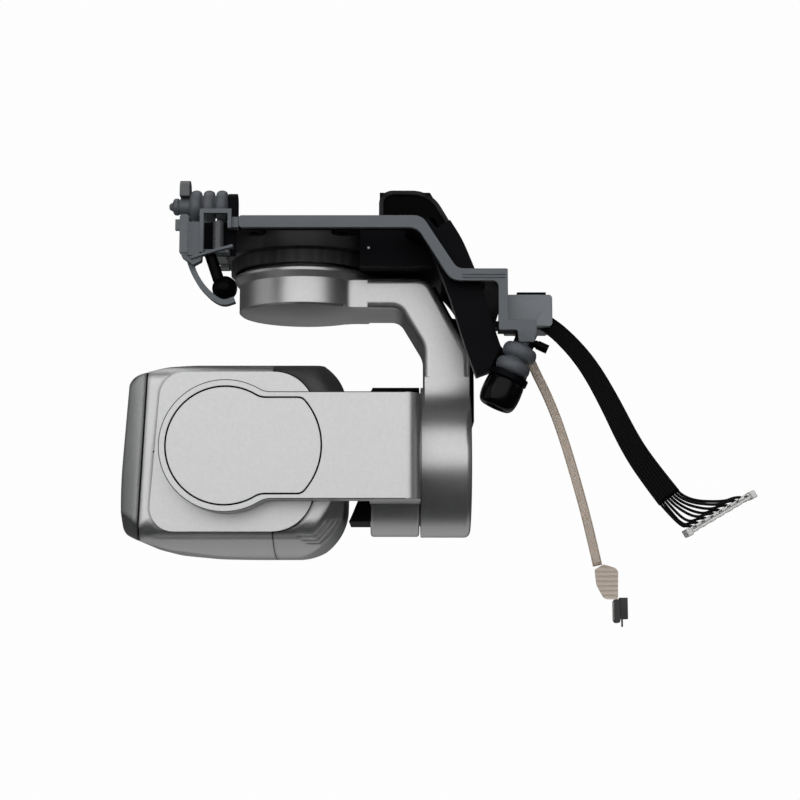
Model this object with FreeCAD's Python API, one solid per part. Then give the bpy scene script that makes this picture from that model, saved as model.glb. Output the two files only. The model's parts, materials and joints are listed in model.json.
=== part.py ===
"""Three-axis camera gimbal of a small folding drone, in millimetres.

Frame: +Z up, the lens looks along -X, the pitch arm is on the -Y side. The origin is on the yaw axis,
at the top plane of the damping frame, in the middle of its four fixing holes.
"""
import FreeCAD, Part
import math
import os

V = FreeCAD.Vector
X_AXIS = V(1, 0, 0)
Y_AXIS = V(0, 1, 0)
Z_AXIS = V(0, 0, 1)

# Damping frame
RAIL_OUT, RAIL_IN = 19.0, 17.2      # outer and inner face of a side rail, from the middle plane
RAIL_DEPTH = 1.6
STEP_Z = -7.1                       # top of the lower step behind the gimbal
STEP_DEPTH = 1.6
LEG_X = (26.3, 27.5)
LEG_FOOT_Z = -15.2
BOLT_X, BOLT_Y, BOLT_R = 6.0, 15.6, 0.6
BOSS_R = 1.7

# Dampers
BOOT_Y, BOOT_Z, BOOT_R = 15.7, 1.9, 2.2
BOOT_X = (-14.4, -9.3)              # near boot
FAR_BOOT_X = (-12.1, -7.8)          # far boot, set further back beside the yaw motor
TAB_THICKNESS = 1.3
NEAR_DAMPER_TOP = V(29.5, -17.0, -17.0)
FAR_DAMPER_TOP = V(31.8, 17.0, -11.2)
REAR_DAMPER_TILT = math.radians(25) # from vertical, foot towards the lens
REAR_DAMPER_LENGTH = 4.2
REAR_DAMPER_DOWN = V(-math.sin(REAR_DAMPER_TILT), 0, -math.cos(REAR_DAMPER_TILT))

# Yaw motor, on the Z axis
YAW_HOUSING_R, YAW_NECK_R = 10.9, 10.3
YAW_TOP_Z, YAW_STEP_Z, YAW_NECK_Z = 0.6, -2.5, -4.3
DISC_TOP_Z, DISC_BOTTOM_Z = -4.55, -9.85
DISC_R, FLANGE_R = 9.1, 9.85

# Yaw arm and roll motor
ARM_HALF = 6.5
ARM_TOP_Z, ARM_UNDER_Z = -5.7, -9.85
COLUMN_X = (16.7, 23.0)
ROLL_Z = -30.6
ROLL_HOUSING_X = (16.3, 23.1)
ROLL_HOUSING_R = 10.4
DRUM_X = (9.4, 16.1)
DRUM_R = 10.3

# Pitch arm and camera
PITCH_X, PITCH_Z = -9.3, -30.1
PITCH_ARM_Y = (-17.2, -12.9)
KEYHOLE_R = 8.6
BAR_Z = (-37.0, -23.1)
BAR_END_X = 16.15
COVER_DEPTH = 0.45
COVER_R = 7.65
COVER_GAP = 0.18
CAMERA_HALF = 12.3
SIDE_PLATE_Y = 12.5
FRONT_SLANT = math.radians(2.6)
GAP_X, GAP_WIDTH = -20.65, 0.25      # the seam behind the front ring, at the pitch axis
REAR_SPLIT_X = -3.4
REAR_R = 18.0                       # swing radius of the camera's rear
CORNER_R = 19.6                     # radius of the ball that no camera corner leaves, under the yaw arm
WALL = 1.3

# Cables
BUNDLE_Y, BUNDLE_WIDTH, BUNDLE_DEPTH = -14.0, 2.6, 0.9
BUNDLE_ROUTE = [(30.0, -11.9), (33.1, -13.5), (36.2, -16.4), (38.7, -19.65),
                (41.2, -24.3), (43.7, -29.6), (46.1, -33.3), (48.7, -36.7)]
FLEX_Y, FLEX_WIDTH, FLEX_DEPTH = -11.0, 1.3, 0.3
FLEX_ROUTE = [(29.3, -14.2), (31.1, -18.6), (33.3, -23.05), (35.1, -28.0),
              (37.0, -34.7), (38.4, -40.2), (39.5, -45.4)]

pieces = {}


def box(x, y, z):
    """A box between low and high values on each axis."""
    return Part.makeBox(x[1] - x[0], y[1] - y[0], z[1] - z[0], V(x[0], y[0], z[0]))


def rod(start, axis, radius, length):
    return Part.makeCylinder(radius, length, start, axis)


def tube(start, axis, outer, inner, length):
    return rod(start, axis, outer, length).cut(rod(start, axis, inner, length))


def far_side(shape):
    return shape.mirror(V(0, 0, 0), Y_AXIS)


def both_sides(shape):
    return [shape, far_side(shape)]


def fuse(shapes):
    return shapes[0].multiFuse(shapes[1:]).removeSplitter()


def soften(shape, radius, wanted):
    """Round the edges whose middle point answers to wanted(point, edge)."""
    chosen = [e for e in shape.Edges if wanted(e.CenterOfMass, e)]
    return shape.makeFillet(radius, chosen)


def closed_outline(corners):
    """A closed flat wire through corners (u, v, radius), each corner rounded by its radius."""
    arcs = []
    for i, (u, v, radius) in enumerate(corners):
        here = V(u, v, 0)
        back = (V(*corners[i - 1][:2], 0) - here).normalize()
        onward = (V(*corners[(i + 1) % len(corners)][:2], 0) - here).normalize()
        half = back.getAngle(onward) / 2
        reach = radius / math.tan(half)
        middle = here + (back + onward).normalize() * (radius / math.sin(half) - radius)
        arcs.append((here + back * reach, middle, here + onward * reach))
    edges = []
    for i, (start, middle, end) in enumerate(arcs):
        if start.distanceToPoint(end) > 1e-6:
            edges.append(Part.Arc(start, middle, end).toShape())
        following = arcs[(i + 1) % len(arcs)][0]
        if end.distanceToPoint(following) > 1e-6:
            edges.append(Part.LineSegment(end, following).toShape())
    return Part.Wire(edges)


def prism(plane, corners, low, high):
    """The rounded outline in a plane ("xz", "yz" or "xy"), drawn out along the third axis."""
    face = Part.Face(closed_outline(corners))
    solid = face.extrude(V(0, 0, high - low))
    if plane == "xz":
        solid.rotate(V(0, 0, 0), X_AXIS, 90)
        solid.translate(V(0, high, 0))
    elif plane == "yz":
        solid.rotate(V(0, 0, 0), V(1, 1, 1), 120)
        solid.translate(V(low, 0, 0))
    else:
        solid.translate(V(0, 0, low))
    return solid


def spin(profile, start, axis):
    """Revolve a closed profile of (radius, distance along the axis) about an axis from start."""
    points = [V(radius, 0, along) for radius, along in profile]
    face = Part.Face(Part.makePolygon(points + points[:1]))
    solid = face.revolve(V(0, 0, 0), Z_AXIS, 360)
    return placed(solid, start, axis)


def placed(shape, start, axis):
    """Move a shape made about +Z to start, with its +Z along axis."""
    moved = shape.copy()
    moved.Placement = FreeCAD.Placement(start, FreeCAD.Rotation(Z_AXIS, axis)).multiply(moved.Placement)
    return moved


def route_frames(points):
    """Start, bends and end of a flat route, as lists of (point, left normal)."""
    route = [V(x, 0, z) for x, z in points]
    runs = [b - a for a, b in zip(route, route[1:])]
    lefts = [V(-run.z, 0, run.x).normalize() for run in runs]
    bends = []
    radii = []
    for i in range(1, len(route) - 1):
        into = V(runs[i - 1]).normalize()
        out = V(runs[i]).normalize()
        turn = into.getAngle(out)
        reach = 0.45 * min(runs[i - 1].Length, runs[i].Length)
        radius = reach / math.tan(turn / 2)
        radii.append(radius)
        inward = (out - into).normalize()
        middle = route[i] + inward * (radius / math.cos(turn / 2) - radius)
        middle_left = (lefts[i - 1] + lefts[i]).normalize()
        bends.append([(route[i] - into * reach, lefts[i - 1]), (middle, middle_left),
                      (route[i] + out * reach, lefts[i])])
    return (route[0], lefts[0]), bends, (route[-1], lefts[-1]), radii


def strip(points, width, y):
    """A band of even width along a route of straight runs and tangent arcs, between two Y values."""
    start, bends, end, _ = route_frames(points)
    sides = []
    for offset in (width / 2, -width / 2):
        here = start[0] + start[1] * offset
        edges = []
        for bend in bends:
            a, b, c = [point + left * offset for point, left in bend]
            edges.append(Part.LineSegment(here, a).toShape())
            edges.append(Part.Arc(a, b, c).toShape())
            here = c
        edges.append(Part.LineSegment(here, end[0] + end[1] * offset).toShape())
        sides.append(edges)
    caps = [Part.LineSegment(s[0] + s[1] * (width / 2), s[0] - s[1] * (width / 2)).toShape()
            for s in (start, end)]
    wire = Part.Wire(Part.__sortEdges__(sides[0] + sides[1] + caps))
    solid = Part.Face(wire).extrude(V(0, y[1] - y[0], 0))
    solid.translate(V(0, y[0], 0))
    return solid


def cable(name, points, width, y):
    """A flat cable; its radii and its volume against section times length are printed."""
    start, bends, end, radii = route_frames(points)
    length = 0
    here = start[0]
    for bend, radius in zip(bends, radii):
        length += here.distanceToPoint(bend[0][0]) + radius * bend[0][1].getAngle(bend[2][1])
        here = bend[2][0]
    length += here.distanceToPoint(end[0])
    solid = strip(points, width, y)
    expected = length * width * (y[1] - y[0])
    print(name, "length", round(length, 2), "radii", [round(r, 1) for r in radii],
          "volume ratio", round(solid.Volume / expected, 4))
    return solid


def bolt(start, axis, head_r, head_height, shank_r, shank_length):
    """A screw with a round recessed head; start is on the surface under the head."""
    head = rod(V(0, 0, 0), Z_AXIS, head_r, head_height)
    recess = prism("xy", [(0.55 * head_r * math.cos(math.radians(a)),
                           0.55 * head_r * math.sin(math.radians(a)), 0) for a in range(0, 360, 60)],
                   head_height * 0.45, head_height)
    shank = rod(V(0, 0, -shank_length), Z_AXIS, shank_r, shank_length)
    return placed(head.cut(recess).fuse(shank), start, axis)


def bellows(ridges, start, axis, length, crest, root, bore):
    """A pleated rubber boot with round ridges, from start along axis."""
    pitch = length / ridges
    edges = []
    here = V(root, 0, 0)
    for i in range(ridges):
        low = V(root, 0, (i + 0.06) * pitch)
        high = V(root, 0, (i + 0.94) * pitch)
        edges.append(Part.LineSegment(here, low).toShape())
        edges.append(Part.Arc(low, V(crest, 0, (i + 0.5) * pitch), high).toShape())
        here = high
    inner = [V(root, 0, length), V(bore, 0, length), V(bore, 0, 0), V(root, 0, 0)]
    for a, b in zip([here] + inner, inner):
        edges.append(Part.LineSegment(a, b).toShape())
    face = Part.Face(Part.Wire(edges))
    return placed(face.revolve(V(0, 0, 0), Z_AXIS, 360), start, axis)


def motor(name, start, axis, magnet_r, magnet_length, stator, boss, shaft):
    """The inner pieces of an outrunner. The rotor face is at start, and the stator beyond it.

    stator, boss and shaft are (low, high) along the axis. The boss is returned for the housing.
    """
    shaft_r, bearing_r, boss_r, hub_r = 0.8, 1.7, 2.2, 3.0
    tooth_count, tooth_half = 9, 0.45
    outer_r = magnet_r - 0.25
    low, high = stator
    core = tube(V(0, 0, low), Z_AXIS, hub_r, boss_r, high - low)
    shoes = tube(V(0, 0, low), Z_AXIS, outer_r, outer_r - 0.45, high - low)
    teeth = []
    coils = []
    slots = []
    for i in range(tooth_count):
        angle = 360 / tooth_count * i
        tooth = box((boss_r + 0.3, outer_r - 0.2), (-tooth_half, tooth_half), (low, high))
        coil = box((hub_r + 0.3, outer_r - 0.6), (-tooth_half - 0.35, tooth_half + 0.35),
                   (low - 0.3, high + 0.3))
        inside = box((0, outer_r), (-tooth_half, tooth_half), (low, high))
        coil = coil.cut(inside)
        slot = box((outer_r - 1, outer_r + 1), (-0.35, 0.35), (low - 1, high + 1))
        slot.rotate(V(0, 0, 0), Z_AXIS, 180 / tooth_count)
        for part, group in ((tooth, teeth), (coil, coils), (slot, slots)):
            part.rotate(V(0, 0, 0), Z_AXIS, angle)
            group.append(part)
    core = fuse([core, shoes.cut(Part.makeCompound(slots))] + teeth)
    pieces[name + "_stator"] = placed(core, start, axis)
    pieces[name + "_windings"] = placed(Part.makeCompound(coils), start, axis)
    magnets = tube(V(0, 0, 0), Z_AXIS, magnet_r + 0.9, magnet_r, magnet_length)
    pieces[name + "_magnet_ring"] = placed(magnets, start, axis)
    width = 0.9
    bearings = [tube(V(0, 0, z), Z_AXIS, bearing_r, shaft_r + 0.04, width)
                for z in (boss[0], boss[1] - width)]
    pieces[name + "_bearings"] = placed(Part.makeCompound(bearings), start, axis)
    post = rod(V(0, 0, shaft[0]), Z_AXIS, shaft_r, shaft[1] - shaft[0])
    pieces[name + "_shaft"] = placed(post, start, axis)
    return placed(tube(V(0, 0, boss[0]), Z_AXIS, boss_r, bearing_r, boss[1] - boss[0]), start, axis)


def damping_frame():
    """Two stepped side rails, the rear step's cross bar and apron, and the fixing bosses."""
    side = prism("xz", [(-7.7, 0, 0.4), (16.3, 0, 2), (20.9, STEP_Z, 1.5), (LEG_X[1], STEP_Z, 0.2),
                        (LEG_X[1], LEG_FOOT_Z, 0.2), (LEG_X[0], LEG_FOOT_Z, 0.2),
                        (LEG_X[0], STEP_Z - STEP_DEPTH, 0.8), (20.2, STEP_Z - STEP_DEPTH, 2),
                        (15.7, -RAIL_DEPTH, 2), (-7.7, -RAIL_DEPTH, 0.4)], -RAIL_OUT, -RAIL_IN)
    solids = [side]
    for x in (-BOLT_X, BOLT_X):
        solids.append(rod(V(x, -BOLT_Y, -RAIL_DEPTH), Z_AXIS, BOSS_R, RAIL_DEPTH))
    solids += [far_side(s) for s in solids]
    for sign, boot_end in ((-1, BOOT_X[1]), (1, FAR_BOOT_X[1])):
        wall_y = sorted((sign * RAIL_IN, sign * 14.2))
        wall = prism("yz", [(wall_y[0], -RAIL_DEPTH, 0), (wall_y[1], -RAIL_DEPTH, 0), (wall_y[1], 3.6, 1.3),
                            (wall_y[0], 3.6, 1.3)], boot_end, boot_end + 1.2)
        floor = box((boot_end, -4.8), wall_y, (-RAIL_DEPTH, -0.5))
        solids += [wall, floor]
    near_neck = prism("xz", [(LEG_X[0], -13.9, 0), (31.2, -13.9, 0.3), (31.2, -15.2, 0.3),
                             (30.9, -16.8, 0.3), (28.9, -16.8, 0.3), (28.7, -15.2, 0.3),
                             (LEG_X[0], -15.2, 0)], -RAIL_OUT, -15.6)
    near_seat = rod(NEAR_DAMPER_TOP, -REAR_DAMPER_DOWN, 1.4, 1.2)
    far_shelf = box((27.0, 33.6), (15.2, RAIL_OUT), (STEP_Z - STEP_DEPTH, STEP_Z - STEP_DEPTH + 0.9))
    far_seat = rod(FAR_DAMPER_TOP, -REAR_DAMPER_DOWN, 1.4, 3.0)
    for neck, seat, top in ((near_neck, near_seat, NEAR_DAMPER_TOP),
                            (far_shelf, far_seat, FAR_DAMPER_TOP)):
        solids.append(fuse([neck, seat]).cut(rod(top, REAR_DAMPER_DOWN, 2.7, REAR_DAMPER_LENGTH)))
    solids.append(box((24.6, LEG_X[1]), (-RAIL_IN, 13.4), (STEP_Z - STEP_DEPTH, STEP_Z)))
    solids.append(box((27.0, LEG_X[1]), (13.4, RAIL_IN), (STEP_Z - STEP_DEPTH, STEP_Z)))
    solids.append(strip([(20.6, -3.2), (22.4, -6.4), (25.0, -7.7)], 0.8, (-13, 13)))
    far_leg_room = box((24, 29.5), (15, 22), (-22, STEP_Z - STEP_DEPTH))
    frame = fuse(solids).cut(far_leg_room)
    for x in (-BOLT_X, BOLT_X):
        for y in (-BOLT_Y, BOLT_Y):
            frame = frame.cut(rod(V(x, y, -RAIL_DEPTH - 1), Z_AXIS, BOLT_R, RAIL_DEPTH + 2))
    return frame


def front_cradle():
    """The frame's front end on the near side: a window, two columns, a curved lip and a hook."""
    window_y = (-19.4, -18.6)
    top_bar = box((-12.75, -8.6), window_y, (0.2, 0.8))
    near_post = box((-9.1, -8.6), window_y, (-1.75, 0.8))
    link = box((-9.1, -7.75), (-18.9, -17.3), (-1.6, -0.2))
    outer_post = box((-12.75, -12.2), window_y, (-5.0, 0.8))
    outer_column = prism("xz", [(-15.4, 0.15, 0.4), (-14.2, 0.15, 0.4), (-14.2, -5.0, 0.1),
                                (-15.4, -5.0, 0.1)], -19.0, -17.9)
    inner_column = box((-14.3, -12.7), (-19.2, -18.2), (-5.4, -0.9))
    chin = prism("xz", [(-15.3, -4.3, 0), (-12.4, -4.3, 0), (-12.5, -6.0, 0.3), (-13.6, -6.6, 0.3),
                        (-15.1, -5.5, 0.4)], -18.9, -17.4)
    nub = box((-16.0, -15.3), (-18.8, -18.0), (-1.9, -0.5))
    lip = strip([(-13.9, -5.7), (-10.7, -4.7), (-8.4, -4.1)], 0.35, (-19.3, -18.3))
    hook = strip([(-14.3, -5.4), (-13.56, -7.5), (-12.37, -9.42), (-10.88, -10.85), (-9.62, -11.5),
                  (-8.2, -11.0)], 0.75, (-18.0, -16.6))
    shelf = box((-12.8, -8.9), (-18.8, -16.3), (-4.95, -4.5))
    back = box((-13.2, -8.2), (-16.9, -16.3), (-4.95, -0.5))
    return fuse([top_bar, near_post, link, outer_post, outer_column, inner_column, chin, nub, lip, hook,
                 shelf, back])


def front_dampers():
    """Boots lying along X, one each side, their pull-through tails, and the frame's rubber stops."""
    boots = []
    tails = []
    for sign, reach in ((-1, BOOT_X), (1, FAR_BOOT_X)):
        start = V(reach[0], sign * BOOT_Y, BOOT_Z)
        boots.append(bellows(3, start, X_AXIS, reach[1] - reach[0], BOOT_R, 1.5, 0.7))
        profile = [(0, 0), (1.13, 0), (1.13, 2.0), (0.9, 2.2), (0.6, 2.3), (0.45, 2.75), (0, 2.8)]
        tails.append(spin(profile, start, -X_AXIS))
    pieces["front_dampers"] = Part.makeCompound(boots)
    pieces["damper_tails"] = Part.makeCompound(tails)
    post = rod(V(-10.45, -17.75, -4.5), Z_AXIS, 0.73, 3.9)
    stem = rod(V(-11.5, -17.6, -4.95), V(0.34, 0, -1), 0.75, 3.6)
    bumper = Part.makeSphere(1.65, V(-9.55, -17.3, -9.45))
    bumper = bumper.fuse(stem.cut(bumper)).cut(front_cradle())
    down = REAR_DAMPER_DOWN
    across = V(-down.z, 0, down.x)
    pin = spin([(0, 0), (0.5, 0), (0.5, 0.4), (0.6, 0.4), (0.6, 1.9), (0, 1.9)],
               NEAR_DAMPER_TOP + across * 1.25 - down * 0.9, across)
    pieces["bumpers"] = Part.makeCompound([bumper, post.cut(front_cradle()), pin])


def rear_dampers():
    """Boots between the frame and the bracket's two feet, with bulbs under them."""
    bulbs = []
    down = REAR_DAMPER_DOWN
    for side, top in (("near", NEAR_DAMPER_TOP), ("far", FAR_DAMPER_TOP)):
        pieces[side + "_rear_damper"] = bellows(2, top, down, REAR_DAMPER_LENGTH, 2.3, 1.4, 0.7)
        under = top + down * (REAR_DAMPER_LENGTH + 0.8)
        bulbs.append(spin([(0, 0), (2.35, 0), (2.55, 0.7), (2.6, 1.8), (2.5, 2.9), (2.2, 3.6), (1.7, 3.95),
                           (1.35, 3.9), (1.2, 3.5), (0, 3.5)], under, down))
    pieces["damper_bulbs"] = Part.makeCompound(bulbs)


def inner_bracket():
    """The soft side: a plate over the yaw motor, arms to the front boots and legs to the rear ones."""
    plate_z = (0.6, 1.4)
    plate = rod(V(0, 0, plate_z[0]), Z_AXIS, 12.6, plate_z[1] - plate_z[0])
    near_bar = box((BOOT_X[0] - TAB_THICKNESS, BOOT_X[0]), (-BOOT_Y, -3.0), plate_z)
    nose = box((BOOT_X[0] - TAB_THICKNESS, -8), (-9.5, -3.0), plate_z)
    far_bar = box((FAR_BOOT_X[0] - TAB_THICKNESS, FAR_BOOT_X[0]), (0, 17.0), plate_z)
    spine = box((8, 17.5), (-11.2, 11.2), plate_z)
    rear_bar = prism("xz", [(14.2, 0.8, 0.3), (17.2, 0.2, 0.6), (19.9, -3.0, 0.5), (17.2, -3.0, 0.5),
                            (14.2, -1.2, 0.3)], -16.6, 16.6)
    rear_bar = rear_bar.fuse(box((14.2, 17.2), (-11.2, 11.2), plate_z))
    block = prism("xz", [(8, 1.0, 0), (17.4, 1.0, 0.3), (19.2, -2, 0.8), (19.6, -5.1, 0.4), (8, -5.1, 0)],
                  -11.2, 11.2)
    block = block.cut(rod(V(0, 0, -6), Z_AXIS, YAW_HOUSING_R, 6.6))
    solids = [plate, near_bar, nose, far_bar, spine, rear_bar, block]
    for sign, front, top_z in ((-1, BOOT_X[0], 5.4), (1, FAR_BOOT_X[0], 4.2)):
        low, high = sorted((sign * 14.2, sign * 17.2))
        tab = prism("yz", [(low, 0.1, 0.5), (high, 0.1, 0.5), (high, top_z, 1.4), (low, top_z, 1.4)],
                    front - TAB_THICKNESS, front)
        solids.append(tab.cut(box((front - 2, front + 1), (-RAIL_OUT, -BOOT_Y), (0, 3.1))))
    near_leg = strip([(18.2, -1.2), (19.7, -3.6), (21.9, -9.0), (24.3, -17.0), (25.5, -20.2)], 4.4,
                     (-16.6, -14.3))
    far_leg = strip([(18.4, -1.2), (20.4, -2.6), (22.6, -5.0), (26.4, -12.0), (28.6, -14.6)], 3.4,
                    (14.3, 16.6))
    down = REAR_DAMPER_DOWN
    for leg, top in ((near_leg, NEAR_DAMPER_TOP), (far_leg, FAR_DAMPER_TOP)):
        foot_centre = top + down * REAR_DAMPER_LENGTH
        leg = leg.cut(rod(foot_centre + down * 0.8, down, 2.75, 8))
        leg = leg.cut(rod(top - down * 0.2, down, 2.65, REAR_DAMPER_LENGTH + 0.2))
        solids += [leg, rod(foot_centre, down, 2.65, 0.8)]
    return fuse(solids).cut(pieces["damper_tails"])


def rear_hood():
    """A bent sheet that covers the bracket's rear, with two inset side walls."""
    corners = [(10.9, 1.4), (10.9, 4.82), (17.45, 4.82), (20.15, 0.25), (20.15, -1.7)]
    sheet = strip(corners, 0.6, (-12, 12))
    outline = [(10.7, 1.4, 0), (10.7, 4.9, 0), (17.5, 4.9, 0), (20.1, 0.4, 0), (20.1, -1.7, 0),
               (19.7, -1.7, 0), (18.0, 1.4, 0)]
    walls = [prism("xz", outline, *sorted((sign * 11.3, sign * 11.7))) for sign in (-1, 1)]
    return fuse([sheet] + walls)


def yaw_unit():
    """Yaw motor housing and inner pieces."""
    boss = motor("yaw", V(0, 0, DISC_TOP_Z), Z_AXIS, 7.4, 3.15, (0.8, 2.5), (0.3, 4.35), (-4.4, 4.6))
    shell = spin([(1.3, YAW_TOP_Z), (1.3, -0.2), (9.6, -0.2), (9.6, YAW_NECK_Z), (YAW_NECK_R, YAW_NECK_Z),
                  (YAW_NECK_R, YAW_STEP_Z), (YAW_HOUSING_R, YAW_STEP_Z + 0.3),
                  (YAW_HOUSING_R, YAW_TOP_Z - 0.3), (YAW_HOUSING_R - 0.3, YAW_TOP_Z)], V(0, 0, 0), Z_AXIS)
    pieces["yaw_motor_housing"] = fuse([shell, boss])


def yaw_arm():
    """Disc, arm and roll motor housing in one casting, with its back cover."""
    disc = spin([(0, DISC_TOP_Z), (FLANGE_R - 0.3, DISC_TOP_Z), (FLANGE_R, DISC_TOP_Z - 0.3),
                 (FLANGE_R, DISC_TOP_Z - 0.7), (DISC_R, DISC_TOP_Z - 1.5), (DISC_R, DISC_BOTTOM_Z + 0.25),
                 (DISC_R - 0.25, DISC_BOTTOM_Z), (0, DISC_BOTTOM_Z)], V(0, 0, 0), Z_AXIS)
    arm = prism("xz", [(2, ARM_TOP_Z, 0), (17.3, ARM_TOP_Z, 2.5), (COLUMN_X[1], -16.4, 3.5),
                       (COLUMN_X[1], ROLL_Z, 0), (COLUMN_X[0], ROLL_Z, 0), (COLUMN_X[0], -15.4, 3),
                       (13.4, ARM_UNDER_Z, 2), (2, ARM_UNDER_Z, 0)], -ARM_HALF, ARM_HALF)
    arm = soften(arm, 0.9, lambda p, e: abs(abs(p.y) - ARM_HALF) < 0.01 and p.x > 2.1
                 and p.z > ROLL_Z + 0.1)
    centre = V(ROLL_HOUSING_X[0], 0, ROLL_Z)
    length = ROLL_HOUSING_X[1] - ROLL_HOUSING_X[0]
    housing = rod(centre, X_AXIS, ROLL_HOUSING_R, length)
    housing = soften(housing, 0.8, lambda p, e: p.x > ROLL_HOUSING_X[1] - 0.01)
    cavity = rod(centre, X_AXIS, ROLL_HOUSING_R - 0.8, length - 0.8)
    boss = motor("roll", V(DRUM_X[1], 0, ROLL_Z), X_AXIS, 7.9, 4.9, (2.0, 4.5), (0.5, 6.2), (-1.2, 6.0))
    root = [(4.5, -6.0, 0), (5.85, -6.96, 0), (6.41, -ARM_HALF, 1.9), (9.0, -ARM_HALF, 0), (9.0, -6.0, 0)]
    roots = both_sides(prism("xy", root, DISC_BOTTOM_Z, DISC_TOP_Z - 1.5))
    flare = [(-6.2, -19.5, 0), (-6.2, -24.3, 0), (-8.23, -24.24, 0), (-ARM_HALF, -22.0, 6),
             (-ARM_HALF, -19.5, 0)]
    flares = both_sides(prism("yz", flare, COLUMN_X[0] + 0.1, COLUMN_X[1] - 0.1))
    casting = fuse([disc, arm, housing] + roots + flares).cut(cavity)
    casting = fuse([casting, boss]).cut(pieces["yaw_shaft"])
    pieces["yaw_arm"] = casting
    cover = strip([(18.1, -6.6), (19.9, -10.2), (23.3, -16.2), (23.35, -20.5), (23.35, -25.4)], 0.5,
                  (-4.2, 4.2))
    pieces["yaw_arm_cover"] = cover.cut(casting)
    screws = []
    for angle in (30, 150, 270):
        y = 6.6 * math.cos(math.radians(angle))
        z = ROLL_Z + 6.6 * math.sin(math.radians(angle))
        seat = V(ROLL_HOUSING_X[1] - 0.4, y, z)
        screws.append(bolt(seat, X_AXIS, 0.9, 0.4, 0.5, 0.35))
        casting = casting.cut(rod(seat, X_AXIS, 0.9, 1)).cut(rod(seat, -X_AXIS, 0.5, 0.35))
    pieces["housing_screws"] = Part.makeCompound(screws)
    pieces["yaw_arm"] = casting


def roll_unit():
    """The drum between the roll motor and the pitch arm, its top pad and its front stop."""
    centre = V(DRUM_X[0], 0, ROLL_Z)
    length = DRUM_X[1] - DRUM_X[0]
    drum = rod(centre, X_AXIS, DRUM_R, length)
    drum = soften(drum, 0.4, lambda p, e: e.Closed and len(e.Vertexes) == 1)
    cavity = rod(centre + V(0.9, 0, 0), X_AXIS, DRUM_R - 0.9, length - 1.8)
    low, high = ROLL_Z + DRUM_R - 0.3, ROLL_Z + DRUM_R + 0.12
    section = box((9.6, DRUM_X[1]), (0, 1), (low, high)).Faces
    section = [face for face in section if face.CenterOfMass.y < 0.01][0]
    pad = section.revolve(centre, X_AXIS, 110)
    pad.rotate(centre, X_AXIS, -55)
    drum = drum.cut(cavity).cut(pad).cut(pieces["roll_shaft"])
    spacers = [rod(V(DRUM_X[0] + 0.9, y, ROLL_Z + z), X_AXIS, 0.8, 1.6) for y in (-5, 5) for z in (-5, 5)]
    pieces["roll_drum"] = fuse([drum] + spacers)
    pieces["roll_pad"] = pad
    pieces["roll_driver_board"] = box((DRUM_X[0] + 2.5, DRUM_X[0] + 3.3), (-6.5, 6.5),
                                      (ROLL_Z - 6.5, ROLL_Z + 6.5))
    stop = box((6.0, DRUM_X[0]), (-7.8, 7.8), (-39.2, -35.6))
    stop = stop.cut(rod(V(PITCH_X, -10, PITCH_Z), Y_AXIS, REAR_R + 0.25, 20))
    pieces["tilt_stop"] = stop.common(rod(centre - V(3, 0, 0), X_AXIS, DRUM_R, 6))


def keyhole(radius, bar_z, bar_end, blend, y):
    """A round end about the pitch axis with a bar towards +X, blended where they meet."""
    round_end = rod(V(PITCH_X, y[0], PITCH_Z), Y_AXIS, radius, y[1] - y[0])
    bar = box((PITCH_X, bar_end), y, bar_z)
    shape = fuse([round_end, bar])
    return soften(shape, blend, lambda p, e: abs(e.tangentAt(e.FirstParameter).y) > 0.99
                  and PITCH_X + 2 < p.x < PITCH_X + radius)


def pitch_unit():
    """The keyhole arm with its inset cover, liner and the pitch motor."""
    body = keyhole(KEYHOLE_R, BAR_Z, BAR_END_X, 3.0, PITCH_ARM_Y)
    root = box((DRUM_X[0], BAR_END_X), (PITCH_ARM_Y[0], -7.5), BAR_Z)
    body = fuse([body, root])
    body = soften(body, 2.0, lambda p, e: abs(e.tangentAt(e.FirstParameter).z) > 0.99
                  and p.x > BAR_END_X - 0.01 and p.y < PITCH_ARM_Y[0] + 0.01)
    body = body.cut(rod(V(DRUM_X[0], 0, ROLL_Z), X_AXIS, DRUM_R, 8))
    body = body.cut(pieces["roll_pad"])
    pocket_y = (PITCH_ARM_Y[0], PITCH_ARM_Y[0] + COVER_DEPTH)
    body = body.cut(cover_form(COVER_GAP, (pocket_y[0] - 1, pocket_y[1])))
    motor_room = rod(V(PITCH_X, PITCH_ARM_Y[0] + 0.9, PITCH_Z), Y_AXIS, 7.4, 5)
    channel = box((PITCH_X, 8.4), (PITCH_ARM_Y[0] + 1.3, PITCH_ARM_Y[1] + 1), (-34.6, -25.6))
    body = body.cut(motor_room).cut(channel)
    boss = motor("pitch", V(PITCH_X, -SIDE_PLATE_Y, PITCH_Z), -Y_AXIS, 5.6, 3.0, (0.9, 2.6), (0.5, 3.8),
                 (-3.0, 3.6))
    pieces["pitch_arm"] = fuse([body, boss])
    pieces["pitch_cover"] = cover_form(0, pocket_y)
    liner = box((-1.4, 8.3), (PITCH_ARM_Y[1] - 0.8, PITCH_ARM_Y[1]), (-34.5, -25.7))
    pieces["pitch_arm_liner"] = liner


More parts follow.
